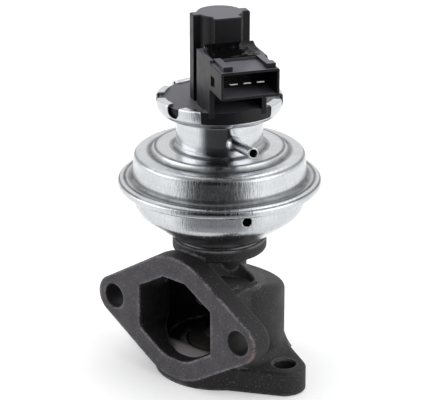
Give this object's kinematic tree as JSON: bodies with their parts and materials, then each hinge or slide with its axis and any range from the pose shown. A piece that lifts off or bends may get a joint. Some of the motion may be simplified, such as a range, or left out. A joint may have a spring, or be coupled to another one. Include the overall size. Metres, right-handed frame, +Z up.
{
  "type": "exhaust gas recirculation valve",
  "caption": "Vacuum-operated poppet valve: a cast two-flange body carries a plated diaphragm can, and a plastic lift sensor with a blade-pin connector stands on top.",
  "frame": {"origin": "centre of the exhaust port on the foot's joint face", "axes": "+Z up the valve stem from the foot to the sensor; -Y is the way the intake flange faces; X runs along both flanges' bolt lines"},
  "size_m": [0.0826, 0.0768, 0.1417],
  "materials": {
    "cast_iron": "sand-cast iron with a dark phosphate finish, matt and grainy",
    "plated_steel": "drawn sheet steel, bright zinc plated, satin with fine draw lines",
    "machined_steel": "turned steel",
    "gasket_steel": "thin embossed steel gasket",
    "spring_steel": "spring wire",
    "bush_metal": "sintered bronze",
    "pin_metal": "tin-plated brass blades",
    "black_plastic": "glass-filled nylon, matt black",
    "potting_resin": "glossy black epoxy",
    "diaphragm_rubber": "fabric-backed rubber",
    "seal_rubber": "moulded rubber",
    "track_ceramic": "white ceramic with a printed track"
  },
  "bodies": {
    "housing": {"valve_housing": "cast_iron", "valve_seat": "machined_steel", "stem_guide": "bush_metal", "stem_shield": "machined_steel", "base_gasket": "gasket_steel", "lower_shell": "plated_steel", "shell_screws": "machined_steel", "stem_seal": "seal_rubber", "seal_retainer": "machined_steel", "upper_shell": "plated_steel", "vacuum_nipple": "plated_steel", "diaphragm": "diaphragm_rubber", "return_spring": "spring_steel", "sensor_housing": "black_plastic", "sensor_ring": "seal_rubber", "terminal_pins": "pin_metal", "potting_compound": "potting_resin", "plunger_bush": "bush_metal", "plunger_spring": "spring_steel", "resistor_track": "track_ceramic"},
    "stem": {"valve_stem": "machined_steel", "valve_poppet": "machined_steel", "diaphragm_piston": "plated_steel", "diaphragm_washer": "plated_steel", "stem_nut": "machined_steel"},
    "plunger": {"sensor_plunger": "machined_steel", "wiper_carrier": "black_plastic", "wiper_brushes": "pin_metal"}
  },
  "joints": [
    {"name": "valve_lift", "type": "slide", "parent": "housing", "child": "stem", "axis": [0, 0, 1], "range_m": [0, 0.0055], "stiffness_N_per_m": 2500, "springref_m": -0.008, "deforming": ["return_spring", "diaphragm"]},
    {"name": "sensor_follow", "type": "slide", "parent": "housing", "child": "plunger", "axis": [0, 0, 1], "range_m": [0, 0.0056], "stiffness_N_per_m": 80, "springref_m": -0.01, "deforming": ["plunger_spring"]}
  ],
  "couplings": [
    {"joint": "sensor_follow", "follows": "valve_lift", "ratio": 1}
  ]
}
